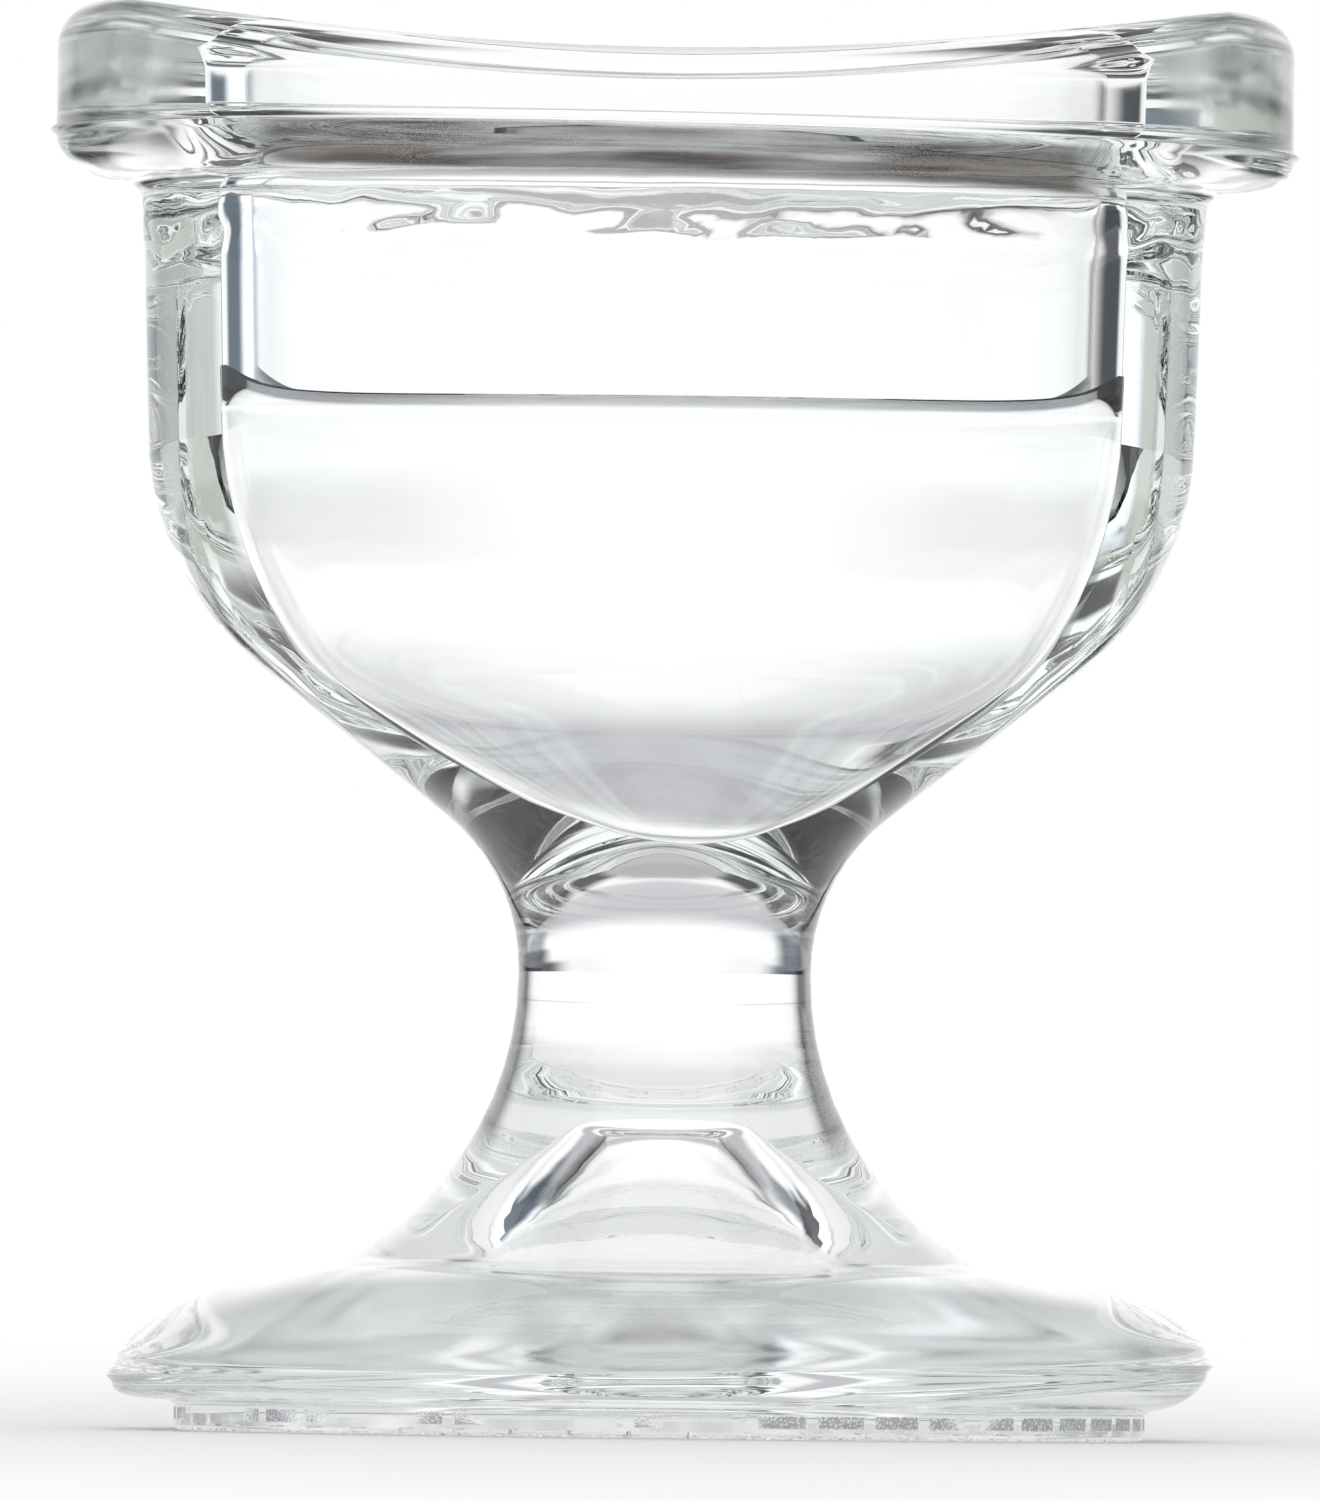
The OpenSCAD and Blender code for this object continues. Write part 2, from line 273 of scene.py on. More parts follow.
def glassRows():
    rows = []  # half length, half width and height, then the marks

    def add(points, width, saddle=0.0, notch=0.0, ripple=0.05, chill=0.0, plan=2.0, tilt=0.0):
        for a, z in points:
            rows.append((a, width(a, z), z, saddle, notch, ripple, chill, plan, 0.0, tilt, 0.0))

    def same(a, z):  # round
        return a

    ringR = ringHigh.x
    ringIn = ringR - cup["ringWidth"]
    ringZ = ringHigh.z
    footR = footHigh.x - cup["finOut"]
    edgeZ = ringZ + cup["edgeHeight"]
    stemZ = stemLow.z
    fin = cup["finHeight"] / 2

    def finEdge(a, z):  # blunt edge of a parting fin
        blunt, half = a + cup["finOut"] * cup["finBlunt"], fin * cup["finTip"]
        return [(blunt, z - half), (a + cup["finOut"], z), (blunt, z + half)]

    # space under the foot
    kick = (cup["kickHalf"], cup["kickHeight"])
    domeR = (ringIn ** 2 + cup["domeRise"] ** 2) / (2 * cup["domeRise"])
    domeC = ringZ + cup["domeRise"] - domeR
    slope = math.tan(math.radians(cup["kickSlope"]))
    meetR, meetZ = kick
    while meetZ > domeC + math.sqrt(domeR ** 2 - meetR ** 2):  # where the kick-up meets the dome
        meetR += cup["meetStep"]
        meetZ = kick[1] - (meetR - kick[0]) * slope
    steps = cup["domeSteps"]
    dome = [(r, domeC + math.sqrt(domeR ** 2 - r * r)) for r in
            [meetR + (ringIn - meetR) * i / steps for i in range(steps + 1)]]
    add([(0.0, kick[1])], same)
    add(rounded((0.0, kick[1]), kick, (meetR, meetZ), cup["kickRound"]), same)
    add(rounded(kick, (meetR, meetZ), dome[steps // 2], cup["domeRound"]), same)
    add(dome[steps // 2 + 1:-1], same)
    add(rounded(dome[-2], (ringIn, ringZ), (ringIn, 0.0), cup["ringInside"]), same, ripple=0.1)

    # bearing ring, with narrow notches across its standing face
    edge = cup["ringRound"]
    add(rounded((ringIn, ringZ), (ringIn, 0.0), (ringR, 0.0), edge), same, ripple=0.0)
    side, past = cup["notchEdge"], cup["notchSlope"]
    add([(ringIn + side, 0.0)], same, ripple=0.0)
    add([(ringIn + side + past, 0.0), (ringR - side - past, 0.0)], same, notch=1.0, ripple=0.0)
    add([(ringR - side, 0.0)], same, ripple=0.0)
    add(rounded((ringIn, 0.0), (ringR, 0.0), (ringR, ringZ), edge), same, ripple=0.0)
    add([(ringR, ringZ - cup["ringShoulder"])], same)

    # foot: under edge, fin, crown
    for c, s in sweep(6, 90, 7):
        add([(ringR + (footR - ringR) * s, edgeZ - fin - (edgeZ - fin - ringZ) * c)], same,
            tilt=cup["footTilt"] * s * s)
    add(finEdge(footR, edgeZ), same, ripple=0.0, tilt=cup["footTilt"])
    drop = stemHigh.z - cup["neckHeight"] - cup["waistFlat"] - stemZ
    flareR = cup["flare"]
    flareC = (cup["waistHalf"] + flareR, stemZ + drop)
    flareFoot = flareC[0] - math.sqrt(flareR ** 2 - drop ** 2)
    full = cup["crownFullness"]
    for c, s in sweep(4, 86, 4):
        add([(flareFoot + (footR - flareFoot) * c ** full,
              edgeZ + fin + (stemZ - edgeZ - fin) * s ** full)], same, tilt=cup["footTilt"] * c * c)

    # stem: flare, waist, neck, then the slope of the bowl
    bottom = 180 + math.degrees(math.asin(drop / flareR))
    add(arc(flareC, flareR, bottom - cup["flareStart"], 180), same, ripple=0.2)
    waistZ = stemHigh.z - cup["neckHeight"]
    under = cup["underFlange"]
    bowlA, bowlB = bowlHigh.x - under, bowlHigh.y - under
    neckC = (cup["waistHalf"] + cup["neck"], waistZ)
    neckCut = neckC[0] - math.sqrt(cup["neck"] ** 2 - cup["neckHeight"] ** 2)

    def ovalWidth(a, z):  # round neck turning into the oval bowl
        t = max(0.0, min(1.0, (z - stemHigh.z) / cup["ovalBlend"]))
        t = t * t * (3 - 2 * t)
        return a - (bowlA - bowlB) * (min(a, bowlA) - neckCut) / (bowlA - neckCut) * t

    lean = 90 - cup["slope"]
    add(arc(neckC, cup["neck"], 180, 180 - lean), ovalWidth, ripple=0.25)
    bellyA = bowlA - cup["wallDraft"]
    bellyC = bellyA - cup["belly"]
    startR = bellyC + cup["belly"] * math.cos(math.radians(lean))
    neckEnd = rows[-1]
    startZ = neckEnd[2] + (startR - neckEnd[0]) * math.tan(math.radians(cup["slope"]))
    bellyZ = startZ + cup["belly"] * math.sin(math.radians(lean))
    add(arc((bellyC, bellyZ), cup["belly"], -lean, 0), ovalWidth, ripple=0.5)

    # wall, flange, fin and lip
    wallZ, seamZ, topZ = flangeLow.z, lipLow.z, lipHigh.z
    rimA, rimB = lipHigh.x - cup["finOut"], lipHigh.y - cup["finOut"]
    beadTop = seamZ - fin

    def beadWidth(a, z):  # a round bead at the two ends is a plain slope at the front and back
        return rimB - (rimB - bowlB - under) * (beadTop - z) / (beadTop - wallZ)

    def evenIn(a, z):  # as far in from the rim all the way round
        return rimB - (rimA - a)

    hang = cup["chillReach"]
    for i in range(cup["chillSteps"] + 1):
        share = i / cup["chillSteps"]
        add([(bowlA - cup["chillDraft"] * (1 - share), wallZ - hang + (hang - under) * share)], ovalWidth,
            ripple=0.4, chill=share)
    add(arc((bowlA + under, wallZ - under), under, 180, 90)[1:], ovalWidth, ripple=0.3, chill=1.0)
    for c, s in sweep(6, 90, 6):
        add([(rimA - (rimA - bowlA - under) * (1 - s), beadTop - (beadTop - wallZ) * c)], beadWidth,
            ripple=0.1, chill=1.0 - s, tilt=cup["rimTilt"] * s * s)
    add(finEdge(rimA, seamZ), evenIn, ripple=0.0, tilt=cup["rimTilt"])
    add([(rimA, seamZ + fin)], evenIn, tilt=cup["rimTilt"])
    lip = cup["lipRound"]
    add(arc((rimA - lip, topZ - lip), lip, 0, 90), evenIn, saddle=1.0, ripple=0.0)
    mouthA, mouthB = cup["mouthHalf"]
    plan = cup["cavityPlan"]
    mouth, front = cup["mouthRound"], cup["mouthFront"]
    for c, s in sweep(0, 90, 6):
        out, down = 1 - s, 1 - c
        add([(mouthA + mouth * out, topZ - mouth * down)], lambda a, z: mouthB + front * out,
            saddle=1 - (mouth - front) / cup["dip"] * down, plan=plan)

    # cavity
    inside = len(rows)
    ratio = mouthB / mouthA

    def similar(a, z):  # the mouth's own proportions
        return a * ratio

    cavA = mouthA - cup["mouthDraft"]
    floorZ = lotionLow.z
    lean = math.radians(cup["cavitySlope"])
    tip, belly = cup["cavityTip"], cup["cavityBelly"]
    startR = cavA - belly * (1 - math.sin(lean))
    startZ = floorZ + tip * (1 - math.cos(lean)) + (startR - tip * math.sin(lean)) * math.tan(lean)
    cavZ = startZ + belly * math.cos(lean)
    seamA = cavA + cup["mouthDraft"] * (seamZ - cavZ) / (topZ - mouth - cavZ)
    add([(seamA, seamZ)], similar, plan=plan, ripple=0.5)
    add(arc((cavA - belly, cavZ), belly, 0, math.degrees(lean) - 90), similar, plan=plan, ripple=0.8)
    add(arc((0.0, floorZ + tip), tip, math.degrees(lean) - 90, cup["tipEnd"]), similar, plan=plan, ripple=0.4)
    add([(0.0, floorZ)], similar, plan=plan, ripple=0.0)
    for number in range(inside, len(rows)):  # lowest point a little off the middle
        low = max(0.0, (cavZ - rows[number][2]) / (cavZ - floorZ))
        rows[number] = rows[number][:8] + (cup["tipLean"] * low * low,) + rows[number][9:]
    return rows, inside


def refined(rows, inside):  # no step along the section longer than the setting
    fine = [rows[0]]
    first = 0
    for number, row in enumerate(rows[1:], 1):
        last = fine[-1]
        count = max(1, math.ceil(math.hypot(row[0] - last[0], row[2] - last[2]) / cup["step"]))
        fine += [tuple(p + (q - p) * i / count for p, q in zip(last, row)) for i in range(1, count + 1)]
        if number == inside:
            first = len(fine)
    return fine, first


def cornerRise(w, x, corner, rise, reachIn):  # lotion climbs higher in the cavity's two corners
    inward = w.sums("MAXIMUM", corner - abs(x), 0.0) / reachIn + 1.0
    return rise / (inward * inward)


# how the tree below shapes what it turns
form = {
    "notchEdge": (0.80, 0.97),  # narrow gaps between long blocks
    "weld": 2e-6,
    "roughness": 0.45,
    "rippleDetail": 1.0,
    "foldDetail": 2.0,
    "foldEdge": (0.38, 0.62),
    "foldStart": (0.0, 0.3),
    "creaseSize": 0.4,  # share of the fold's own size
    "creaseDepth": 2.0,
}


def ovalTurning():  # tree: turns a section with its own half widths round the upright axis
    tree = bpy.data.node_groups.new("ovalTurning", "GeometryNodeTree")
    inputs = {
        "Section": "Geometry", "Sides": "Int", "Saddle Dip": "Float", "Saddle Reach": "Float",
        "Notches": "Int", "Notch Depth": "Float", "Ripple Height": "Float", "Ripple Size": "Float",
        "Chill Height": "Float", "Chill Size": "Float", "Chill Wave": "Float", "Corner": "Float",
        "Corner Rise": "Float", "Corner Reach": "Float", "Seed": "Float", "Material": "Material",
    }
    for name, kind in inputs.items():
        tree.interface.new_socket(name=name, in_out="INPUT", socket_type="NodeSocket" + kind)
    tree.interface.new_socket(name="Mesh", in_out="OUTPUT", socket_type="NodeSocketGeometry")
    given = tree.nodes.new("NodeGroupInput")
    w = Wire(tree)
    ask = {name: Wire(tree, given.outputs[name]) for name in inputs}

    rowCount = w.node("GeometryNodeAttributeDomainSize", {"component": "MESH"},
                      {"Geometry": ask["Section"]}, "Point Count")
    columns = ask["Sides"] + 1.0
    grid = w.node("GeometryNodeMeshGrid", {}, {"Vertices X": rowCount, "Vertices Y": columns}, "Mesh")
    number = w.node("GeometryNodeInputIndex")
    row = w.sums("FLOOR", (number + 0.5) / columns)
    angle = (number - row * columns) / ask["Sides"] * math.tau

    def named(name):
        return w.node("GeometryNodeInputNamedAttribute", {"data_type": "FLOAT"}, {"Name": name}, "Attribute")

    def atRow(value, kind):  # what the section has at this row
        return w.node("GeometryNodeSampleIndex", {"data_type": kind, "domain": "POINT"},
                      {"Geometry": ask["Section"], "Value": value, "Index": row})

    def along(name):
        return atRow(named(name), "FLOAT")

    half = atRow(w.node("GeometryNodeInputPosition"), "FLOAT_VECTOR").split()
    cosine, sine = w.sums("COSINE", angle), w.sums("SINE", angle)
    power = 2.0 / along("plan")

    def pointed(value):  # the same sign, with the size raised to the oval's power
        return w.sums("SIGN", value) * w.sums("POWER", abs(value), power)

    x = half[0] * pointed(cosine) + along("lean")
    y = half[1] * pointed(sine)
    cut = w.sums("COSINE", angle * ask["Notches"]).fade(*form["notchEdge"])
    inDip = x / ask["Saddle Reach"]
    hollow = w.sums("MAXIMUM", 1.0 - inDip * inDip, 0.0)
    height = half[2] - along("saddle") * ask["Saddle Dip"] * hollow - along("tilt") * cosine
    height = height + along("notch") * cut * ask["Notch Depth"]
    height = height + along("rise") * cornerRise(w, x, ask["Corner"], ask["Corner Rise"], ask["Corner Reach"])
    spot = w.node("ShaderNodeCombineXYZ", {}, {0: x, 1: y, 2: height})
    turned = w.node("GeometryNodeSetPosition", {}, {"Geometry": grid, "Position": spot})
    for name in ("ripple", "chill"):
        turned = w.node("GeometryNodeStoreNamedAttribute", {"data_type": "FLOAT", "domain": "POINT"},
                        {"Geometry": turned, "Name": name, "Value": along(name)})
    closed = w.node("GeometryNodeMergeByDistance", {}, {"Geometry": turned, "Distance": form["weld"]})
    closed = w.node("GeometryNodeFlipFaces", {}, {"Mesh": closed})

    def waves(size, detail):  # about -0.5 to 0.5
        return w.node("ShaderNodeTexNoise", {"noise_dimensions": "4D"},
                      {"Vector": w.node("GeometryNodeInputPosition"), "W": ask["Seed"], "Scale": 1.0 / size,
                       "Detail": detail, "Roughness": form["roughness"]}) - 0.5

    chill = named("chill")
    swell = waves(ask["Ripple Size"], form["rippleDetail"]) * ask["Ripple Height"] * named("ripple")
    fold = (chill + waves(ask["Chill Size"], form["foldDetail"]) * ask["Chill Wave"]).fade(*form["foldEdge"])
    fold = fold * chill.fade(*form["foldStart"])
    crease = waves(ask["Chill Size"] * form["creaseSize"], form["foldDetail"]) * form["creaseDepth"] + 1.0
    swell = swell + fold * crease * ask["Chill Height"]
    push = w.node("ShaderNodeVectorMath", {"operation": "SCALE"},
                  {0: w.node("GeometryNodeInputNormal"), "Scale": swell})
    rippled = w.node("GeometryNodeSetPosition", {}, {"Geometry": closed, "Offset": push})
    smooth = w.node("GeometryNodeSetShadeSmooth", {}, {"Geometry": rippled})
    real = w.node("GeometryNodeRealizeInstances", {}, {"Geometry": smooth})
    done = w.node("GeometryNodeSetMaterial", {}, {"Geometry": real, "Material": ask["Material"]})
    w.close("NodeGroupOutput", {"Mesh": done})
    return tree


def sectionObject(name, rows):
    data = bpy.data.meshes.new(name)
    points = [(a * mm, b * mm, z * mm) for a, b, z, *_ in rows]
    data.from_pydata(points, [(i, i + 1) for i in range(len(rows) - 1)], [])
    for place, mark in enumerate(marks, 3):
        unit = mm if mark in ("lean", "tilt") else 1.0
        values = [row[place] * unit for row in rows]
        data.attributes.new(mark, "FLOAT", "POINT").data.foreach_set("value", values)
    piece = bpy.data.objects.new(name, data)
    scene.collection.objects.link(piece)
    return piece


def turn(piece, tree, values):
    modifier = piece.modifiers.new("turning", "NODES")
    modifier.node_group = tree
    for item in tree.interface.items_tree:
        if item.in_out == "INPUT" and item.name in values:
            modifier[item.identifier] = values[item.name]
    solid = bpy.data.meshes.new_from_object(piece.evaluated_get(bpy.context.evaluated_depsgraph_get()))
    piece.modifiers.clear()
    piece.data = solid
    solid.name = piece.name
    print(piece.name, len(solid.vertices), "points", len(solid.polygons), "faces")
    return piece


# in metres; four heights or edges are where a zone starts, is full, starts to end and has ended
glassLook = {
    "ior": 1.52,
    "tint": (0.82, 0.90, 0.86, 1.0),  # grey-green of thick glass
    "density": 8.0,
    "colour": (0.99, 0.995, 0.992, 1.0),
    "haze": (0.98, 0.985, 0.98, 1.0),
    "cordScale": 260.0,  # faint upright cords
    "cordStretch": (1.0, 1.0, 0.35),
    "cordShare": 0.7,  # of the dimples, the rest being grain
    "grainScale": 900.0,
    "smear": 0.010,  # most roughness, in faint smears
    "smearStart": (0.52, 0.75),
    "dimple": 0.006,
    "bumpDepth": 0.0002,
    "worn": 0.15,  # roughness of the space under the foot
    "wornReach": (0.0172, 0.0190),
    "wornHeight": (0.0030, 0.0046),
    "satin": 0.13,  # roughness of the lip's two ends
    "endTint": (0.90, 0.89, 0.875, 1.0),
    "endReach": (0.0185, 0.0200),
    "endHeight": (0.0505, 0.0515),
    "stipple": 0.8,
    "stippleScale": 2600.0,
    "stippleHeight": (0.00006, 0.00012),  # the standing face of the ring
    "block": (0.30, 0.29, 0.34, 1.0),  # frosted blocks between the notches, on the ring's upright face
    "blockRough": 0.30,
    "blockHeight": (0.00040, 0.00047, 0.00088, 0.00095),
    "blockReach": (0.0188, 0.0192),
    "blockGap": (0.70, 0.88),
    "wear": (0.44, 0.52),  # where the blocks are worn away
    "wearScale": 140.0,
    "frostScale": 7000.0,
    "frostStart": (0.2, 0.5),
    "filmAndPaintedShade": (0.05, 0.045, 0.05, 1.0),  # painted shade: dark grey on the stem, where the glass is met flat
    "filmAndPaintedShadeStart": (0.49, 0.63),
    "stemShadeLean": 5.0,
    "stemShadeHeight": (0.0100, 0.0125, 0.0240, 0.0300),
    "paintedFlangeShade": (0.018, 0.014, 0.012, 1.0),  # painted shade: a dark band along the flange's slope, below the parting line
    "paintedFlangeShadeLeast": 0.7,  # its share in the palest streaks
    "paintedFlangeShadeHeight": (-0.0022, -0.0018, -0.00034, -0.00008),  # from the parting line
    "paintedFlangeShadeReach": (0.0155, 0.0190),
    "paintedFlangeShadeLean": 0.022,
    "flangeEdge": (0.62, 0.70),  # share of the rim, squared
    "streakScale": 1500.0,
    "streakStretch": (0.09, 0.09, 1.0),
    "streakStart": (0.15, 0.6),
}


def clearGlass():
    look = glassLook
    material = bpy.data.materials.new("clearGlass")
    w = blankTree(material)
    place = w.node("ShaderNodeTexCoord", out="Object")
    x, y, up = place.split()
    tall = w.node("ShaderNodeMapping", {}, {0: place, "Scale": look["cordStretch"]})
    cords = tall.noise(look["cordScale"], 3.0)
    grain = place.noise(look["grainScale"], 2.0)
    smear = cords.fade(*look["smearStart"])
    colour = w.mix(smear, look["colour"], look["haze"])

    # painted shade: a dark band on the flange below the parting line, in level streaks
    rimX, rimY = x / (lipHigh.x * mm), y / (lipHigh.y * mm)
    onFlange = (rimX * rimX + rimY * rimY).fade(*look["flangeEdge"])
    level = up - lipLow.z * mm + x * look["paintedFlangeShadeLean"]
    flangeShadeBand = level.within(look["paintedFlangeShadeHeight"]) * onFlange * (1.0 - abs(x).fade(*look["paintedFlangeShadeReach"]))
    wide = w.node("ShaderNodeMapping", {}, {0: place, "Scale": look["streakStretch"]})
    streak = wide.noise(look["streakScale"], 2.0).fade(*look["streakStart"])
    least = look["paintedFlangeShadeLeast"]
    colour = w.mix(flangeShadeBand * (streak * (1.0 - least) + least), colour, look["paintedFlangeShade"])

    # painted shade on the stem, darker where the glass is met flat and a little on the right
    flat = w.node("ShaderNodeLayerWeight", {}, {"Blend": 0.5}, "Facing") + x * look["stemShadeLean"]
    filmAndPaintedShade = flat.fade(*look["filmAndPaintedShadeStart"]) * up.within(look["stemShadeHeight"])
    colour = w.mix(filmAndPaintedShade, colour, look["filmAndPaintedShade"])

    # blocks on the bearing ring
    radius = w.sums("SQRT", x * x + y * y)
    gap = w.sums("COSINE", w.sums("ARCTAN2", y, x) * float(cup["notches"])).fade(*look["blockGap"])
    wear = place.noise(look["wearScale"], 2.0).fade(*look["wear"])
    blocks = up.within(look["blockHeight"]) * radius.fade(*look["blockReach"]) * (1.0 - gap) * wear
    frost = place.cells(look["frostScale"])
    colour = w.mix(blocks * frost.fade(*look["frostStart"]), colour, look["block"])

    # worn underside, satin ends, stippled standing face
    under = (1.0 - radius.fade(*look["wornReach"])) * (1.0 - up.fade(*look["wornHeight"]))
    ends = abs(x).fade(*look["endReach"]) * up.fade(*look["endHeight"])
    colour = w.mix(ends, colour, look["endTint"])
    standing = 1.0 - up.fade(*look["stippleHeight"])
    dots = place.cells(look["stippleScale"])
    rough = smear * look["smear"] + under * look["worn"] + ends * look["satin"] + blocks * look["blockRough"]
    skin = w.node("ShaderNodeBump", {}, {
        "Strength": look["dimple"], "Distance": look["bumpDepth"],
        "Height": cords * look["cordShare"] + grain * (1.0 - look["cordShare"])})
    bump = w.node("ShaderNodeBump", {}, {
        "Strength": look["stipple"], "Distance": look["bumpDepth"],
        "Height": dots * standing + frost * blocks, "Normal": skin})
    shader = w.node("ShaderNodeBsdfPrincipled", {}, {
        "Base Color": colour, "Normal": bump, "Roughness": rough,
        "IOR": look["ior"], "Transmission Weight": 1.0})
    depth = w.node("ShaderNodeVolumeAbsorption", {}, {"Color": look["tint"], "Density": look["density"]})
    w.close("ShaderNodeOutputMaterial", {"Surface": shader, "Volume": depth})
    return material


turning = ovalTurning()
sectionRows, firstInside = refined(*glassRows())
print("section rows", len(sectionRows), "inside from", firstInside)
common = {
    "Sides": cup["sides"], "Saddle Dip": cup["dip"] * mm, "Notches": cup["notches"],
    "Notch Depth": cup["notchDepth"] * mm, "Saddle Reach": cup["dipReach"] * mm,
    "Ripple Height": cup["rippleHeight"] * mm, "Ripple Size": cup["rippleSize"] * mm,
    "Chill Height": cup["chillHeight"] * mm, "Chill Size": cup["chillSize"] * mm,
    "Chill Wave": cup["chillWave"], "Seed": cup["seed"],
    "Corner Reach": 1.0,  # not zero, as the rise is divided by it
}
glassCup = turn(sectionObject("glassCup", sectionRows), turning, {**common, "Material": clearGlass()})
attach(glassCup, "root")
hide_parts("lip", "flange", "bowl", "stem", "foot", "bearing_ring")

# lotion: laps a hair into the glass, so that no air is left between them; sizes in mm
lotion = {
    "lap": 0.05,
    "climb": 0.6,  # height of the edge on the glass
    "climbFall": 0.55,  # in which the edge drops to about a third
    "climbSteps": (0.1, 0.2, 0.3, 0.45, 0.6, 0.8, 1.0, 1.3, 1.7, 2.2),
    "levelShares": (0.8, 0.6, 0.4, 0.2, 0.06, 0.0),
    "cornerRise": 1.4,  # further climb in the two corners
    "cornerReach": 1.8,
    "cornerFall": 0.8,
}
lotionLook = {
    "ior": 1.335,
    "colour": (0.995, 0.998, 1.0, 1.0),
    "filmAndPaintedShade": (0.985, 0.99, 0.992, 1.0),
    "filmScale": 180.0,
    "filmAndPaintedShadeStart": (0.45, 0.8),
    "edge": (0.13, 0.14, 0.16, 1.0),  # painted shade: the climbing edge is coloured dark, as it turns the light away
    "edgeStart": (0.04, 0.22),  # mm above the level
    "edgePale": (0.004, 0.013),  # paler in the middle, metres off it
    "edgeLeast": 0.6,
}


def clearLotion(corner):
    look = lotionLook
    material = bpy.data.materials.new("clearLotion")
    w = blankTree(material)
    place = w.node("ShaderNodeTexCoord", out="Object")
    x, _, up = place.split()
    drift = place.noise(look["filmScale"], 1.0).fade(*look["filmAndPaintedShadeStart"])
    colour = w.mix(drift, look["colour"], look["filmAndPaintedShade"])
    # painted shade: a dark line where the lotion climbs the glass, higher in the corners, paler in the middle
    start, end = [(lotionHigh.z - lotion["climb"] + above) * mm for above in look["edgeStart"]]
    rise = cornerRise(w, x, corner * mm, lotion["cornerRise"] * mm, lotion["cornerReach"] * mm)
    least = look["edgeLeast"]
    pale = abs(x).fade(*look["edgePale"]) * (1.0 - least) + least
    colour = w.mix((up - rise).fade(start, end) * pale, colour, look["edge"])
    shader = w.node("ShaderNodeBsdfPrincipled", {}, {
        "Base Color": colour, "Roughness": 0.0, "IOR": look["ior"], "Transmission Weight": 1.0})
    w.close("ShaderNodeOutputMaterial", {"Surface": shader})
    return material


def lotionRows():
    top = lotionHigh.z
    dry = max(i for i, row in enumerate(sectionRows) if i >= firstInside and row[2] > top)
    over, under = sectionRows[dry], sectionRows[dry + 1]
    share = (top - under[2]) / (over[2] - under[2])
    edge = tuple(p + (q - p) * share for p, q in zip(under, over))
    wet = [edge] + sectionRows[dry + 1:]
    wet.reverse()
    rows = []
    for i, (a, b, z, _, _, ripple, chill, plan, lean, _, _) in enumerate(wet):
        before, after = wet[max(i - 1, 0)], wet[min(i + 1, len(wet) - 1)]
        along, up = after[0] - before[0], after[2] - before[2]
        lap = lotion["lap"] / math.hypot(along, up)
        out = up * lap if i else 0.0
        rows.append((a + out, b + out, z - along * lap, 0.0, 0.0, -ripple, -chill, plan, lean, 0.0, 0.0))
    level = top - lotion["climb"]
    a, b, z, *rest = rows[-1]
    rows[-1] = (a + lotion["lap"], b + lotion["lap"], z, *rest[:-1], 1.0)
    rest[marks.index("ripple")] = 0.0
    for step in lotion["climbSteps"]:
        z = level + lotion["climb"] * math.exp(-step / lotion["climbFall"])
        rows.append((a - step, b - step, z, *rest[:-1], math.exp(-step / lotion["cornerFall"])))
    a, b, *_ = rows[-1]
    for share in lotion["levelShares"]:
        rows.append((a * share, b * share, level, *rest))
    return rows


wetRows = lotionRows()
lotionCorner = max(row[0] for row in wetRows)
eyeLotion = turn(sectionObject("eyeLotion", wetRows), turning, {
    **common, "Corner": lotionCorner * mm, "Corner Rise": lotion["cornerRise"] * mm,
    "Corner Reach": lotion["cornerReach"] * mm, "Material": clearLotion(lotionCorner)})
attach(eyeLotion, "root")
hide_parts("eye_lotion")

# floor: a pale sweep that rises behind the foot and falls away in front of it; sizes in metres
ground = {
    "sides": 96,
    "rings": (0.15, 0.4, 1.2, 3.0),  # beyond the slope
    "flat": 0.0212,
    "flatSteps": 4,
    "soft": 0.006,
    "slope": 0.16,
    "slopeEnd": 0.075,
    "slopeSteps": 24,
    "colour": (0.95, 0.95, 0.95, 1.0),
    "lit": (1.0, 1.0, 1.0, 1.0),
    "paintedGlow": (0.93, 0.93, 0.94, 1.0),  # painted light: the sheet glows inside the ring, in place of light that the glass gathers there
    "paintedGlowEdge": (0.0155, 0.019),
    "paintedNearShade": (0.78, 0.78, 0.79, 1.0),  # painted shade: the sheet round the foot glows a shadowed grey, as the glass sees it
    "white": (0.025, 0.052),
    "screen": (1.10, 1.10, 1.10, 1.0),
    "table": (0.045, 0.042, 0.040, 1.0),  # what the glass sees round the sheet, not the camera
    "tableStart": (0.084, 0.097),
    "tableEnd": (0.15, 0.24),
    "farSide": (0.16, 0.16, 0.17, 1.0),
    "farFront": (0.42, 0.43, 0.41, 1.0),
    "frontEdge": (-0.06, 0.0),
    "lane": (14.0, 26.0),  # degrees off straight behind, where the sheet runs on instead
    "laneFront": 2.5,  # how much wider it lies in front
    "paintedReflectionFacing": (0.145, 0.19),  # painted reflection: seen flatter than this the table takes the screens' tone
}


def floorMesh():
    count = ground["sides"]
    flat, end = ground["flat"], ground["slopeEnd"]
    inner = [flat * i / ground["flatSteps"] for i in range(ground["flatSteps"] + 1)]
    outer = [flat + (end - flat) * i / ground["slopeSteps"] for i in range(1, ground["slopeSteps"] + 1)]
    points, faces = [], []
    for r in (*inner, *outer, *ground["rings"]):
        past = max(0.0, min(r, end) - flat)
        rise = ground["slope"] * past * past / (past + ground["soft"])
        for j in range(count):
            t = math.tau * j / count
            points.append((r * math.cos(t), r * math.sin(t), rise * math.sin(t)))
    for i in range(len(points) // count - 1):
        for j in range(count):
            k = (j + 1) % count
            faces.append((i * count + j, (i + 1) * count + j, (i + 1) * count + k, i * count + k))
    data = bpy.data.meshes.new("floor")
    data.from_pydata(points, [], faces)
    data.validate()
    data.polygons.foreach_set("use_smooth", [True] * len(data.polygons))
    return data


